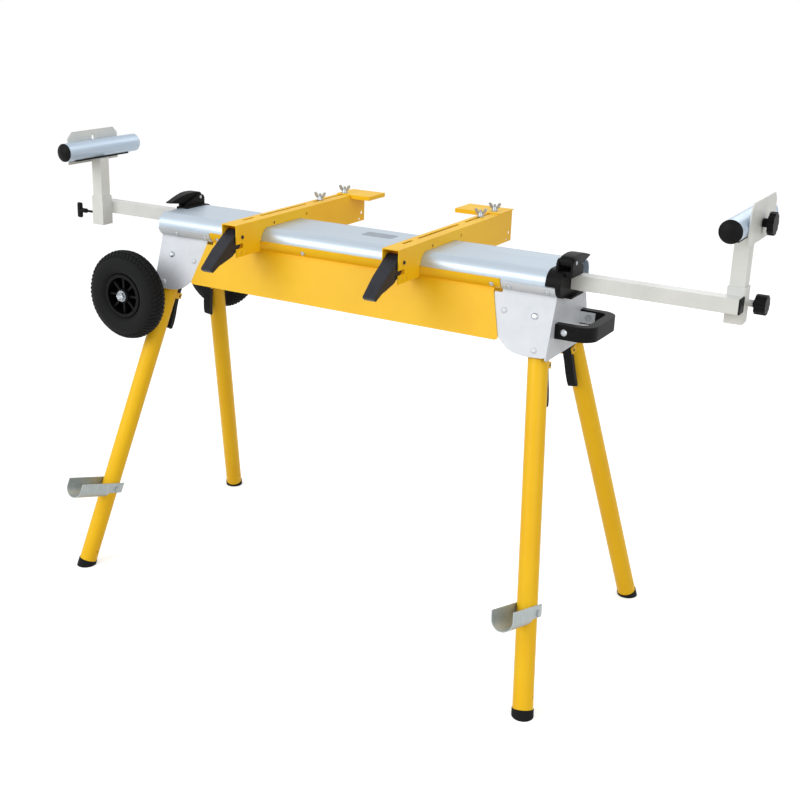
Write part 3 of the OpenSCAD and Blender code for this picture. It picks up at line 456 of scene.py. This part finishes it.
spin_turn = wire(tread, "ShaderNodeCombineXYZ", None, {"Z": spin.outputs[0]})
for row_tilt, row_twist, phase in LUG_ROWS:
    swing = wire(tread, "ShaderNodeMath",
                 {"operation": "MULTIPLY", 1: math.cos(math.radians(row_tilt))},
                 {0: given.outputs["Section radius"]})
    reach = wire(tread, "ShaderNodeMath", {"operation": "ADD"},
                 {0: swing.outputs[0], 1: given.outputs["Ring radius"]})
    rise = wire(tread, "ShaderNodeMath",
                {"operation": "MULTIPLY", 1: math.sin(math.radians(row_tilt))},
                {0: given.outputs["Section radius"]})
    hoop = wire(tread, "GeometryNodeMeshCircle", None,
                {"Vertices": given.outputs["Lug count"], "Radius": reach.outputs[0]})
    angled = wire(tread, "GeometryNodeTransform",
                  {"Rotation": (math.radians(row_twist), 0, 0)}, {"Geometry": lug.outputs[0]})
    tipped = wire(tread, "GeometryNodeTransform",
                  {"Rotation": (0, math.radians(-row_tilt), 0)}, {"Geometry": angled.outputs[0]})
    row = wire(tread, "GeometryNodeInstanceOnPoints", None,
               {"Points": hoop.outputs[0], "Instance": tipped.outputs[0],
                "Rotation": spin_turn.outputs[0]})
    lift_by = wire(tread, "ShaderNodeCombineXYZ", None, {"Z": rise.outputs[0]})
    placed = wire(tread, "GeometryNodeTransform",
                  {"Rotation": (0, 0, phase * 2 * math.pi / LUGS)},
                  {"Geometry": row.outputs[0], "Translation": lift_by.outputs[0]})
    tread.links.new(placed.outputs[0], all_rows.inputs[0])
real = wire(tread, "GeometryNodeRealizeInstances", None, {0: all_rows.outputs[0]})
rubber_step = wire(tread, "GeometryNodeSetMaterial", None,
                   {"Geometry": real.outputs[0], "Material": given.outputs["Rubber"]})
tread.links.new(rubber_step.outputs[0], done.inputs[0])
lug_mesh = grown("tyre_lugs", tread, {
    "Lug count": LUGS, "Ring radius": TYRE_RING * MM, "Section radius": TYRE_SECTION * MM,
    "Lug height": LUG_HEIGHT * MM, "Lug width": LUG_WIDTH * MM,
    "Lug length": LUG_LENGTH * MM, "Rubber": rubber})
bead_half = math.sqrt(TYRE_SECTION ** 2 - (TYRE_RING - TYRE_BEAD) ** 2)
wall_start = math.atan2(bead_half, TYRE_BEAD - TYRE_RING)
section = [(TYRE_BEAD, -bead_half)]
for k in range(WALL_STEPS + 1):
    a = -wall_start + 2 * wall_start * k / WALL_STEPS
    r = TYRE_RING + TYRE_SECTION * math.cos(a)
    z = TYRE_SECTION * math.sin(a)
    if abs(r - RIB_RADIUS) < RIB_HALF:
        z *= RIB_SWELL
    section.append((r, z))
section.append((TYRE_BEAD, -bead_half))
upright_turn = Matrix.Rotation(math.radians(90), 3, "X")
for end, side_y in (("front", -TYRE_Y), ("rear", TYRE_Y)):
    carcass = turned(section, TYRE_STEPS)
    for face in carcass.faces:
        face.smooth = True
    carcass.from_mesh(lug_mesh)
    bmesh.ops.rotate(carcass, verts=carcass.verts, cent=(0, 0, 0), matrix=upright_turn)
    bmesh.ops.translate(carcass, verts=carcass.verts,
                        vec=(TYRE_X * MM, side_y * MM, TYRE_Z * MM))
    tyre_mesh = bpy.data.meshes.new("lugged_tyre_" + end)
    carcass.to_mesh(tyre_mesh)
    carcass.free()
    tyre_mesh.materials.clear()
    tyre_mesh.materials.append(rubber)
    tyre = bpy.data.objects.new("lugged_tyre_" + end, tyre_mesh)
    bpy.context.scene.collection.objects.link(tyre)
    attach(tyre, "wheel_" + end)
    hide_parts("tyre_" + end)

# Arms and posts: square steel tube with welded sleeves, painted warm light grey.
# The arms slide in the beam and the posts in the sleeves. Their plugs, saddles
# and clamp knobs are the handle's black nylon.
TUBE_EDGE, KNOB_EDGE = 0.8, 0.8
grey_coat = finish("warm grey paint", "#E0E2DF", "#D6D8D5", rough=0.4, metal=0.1, mottle_mm=60,
                   grain_mm=1.5, grain_depth_mm=0.02)
eased(grey_coat, TUBE_EDGE, "arm_left", "arm_right", "post_left", "post_right")
dress(black_nylon, "arm_plug_left", "arm_plug_right", "saddle_left", "saddle_right")
eased(black_nylon, KNOB_EDGE, "post_knob_left", "post_knob_right")

# Support tubes: round satin aluminium, cradled by the saddles on the posts.
# Fine drawing lines run along them and stretch the highlights.
satin_tube = finish("satin aluminium tube", "#BCCCDC", "#AEBFD0", rough=0.42, metal=0.6,
                    mottle_mm=4, grain_mm=0.8, grain_depth_mm=0.01, stretch=(1, 0.03, 1))
dress(satin_tube, "support_tube_left", "support_tube_right")
dress(black_nylon, "tube_caps_left", "tube_caps_right")

# Stop plates: the same grey painted sheet, slotted and held to the tubes by
# black knobs, so that they slide up past the tube as a work stop.
PLATE_EDGE = 0.5
eased(grey_coat, PLATE_EDGE, "stop_plate_left", "stop_plate_right")
eased(black_nylon, KNOB_EDGE, "stop_knob_left", "stop_knob_right")

# Saw rails: folded yellow channels that hook over the beam's round sides, with
# the wing plates lying on their rear ends under wing nuts.
eased(yellow_coat, SHEET_EDGE, "saw_rail_left", "saw_rail_right", "wing_plate_left",
      "wing_plate_right")

# Rail levers: dark grey nylon cams that turn on a pin through the rail's open
# front end; rubbed smooth by hands, so a little glossier than the black.
LEVER_EDGE = 1.5
grey_nylon = finish("dark grey moulded nylon", "#292C34", "#21242B", rough=0.45, mottle_mm=30,
                    grain_mm=0.9, grain_depth_mm=0.05, shine=0.25)
eased(grey_nylon, LEVER_EDGE, "rail_lever_left", "rail_lever_right")

# Legs: round steel tube in the yellow powder coat, turning on bolts through the
# brackets, each with a black lock lever and a rubber foot pushed on its end.
dress(yellow_coat, "leg_front_left", "leg_front_right", "leg_rear_left", "leg_rear_right")
eased(black_nylon, HANDLE_EDGE, "lock_lever_front_left", "lock_lever_front_right",
      "lock_lever_rear_left", "lock_lever_rear_right")
dress(rubber, "foot_front_left", "foot_front_right", "foot_rear_left", "foot_rear_right")

# Hooks: hot dip galvanised channels pinned to the front legs. The zinc's crystal
# spangle shows as soft grey patches.
galvanised = finish("galvanised steel", "#BAC4C6", "#A5B0B3", rough=0.42, metal=0.4, mottle_mm=10,
                    mottle=0.7, grain_mm=1.0, grain_depth_mm=0.02)
dress(galvanised, "hook_left", "hook_right")
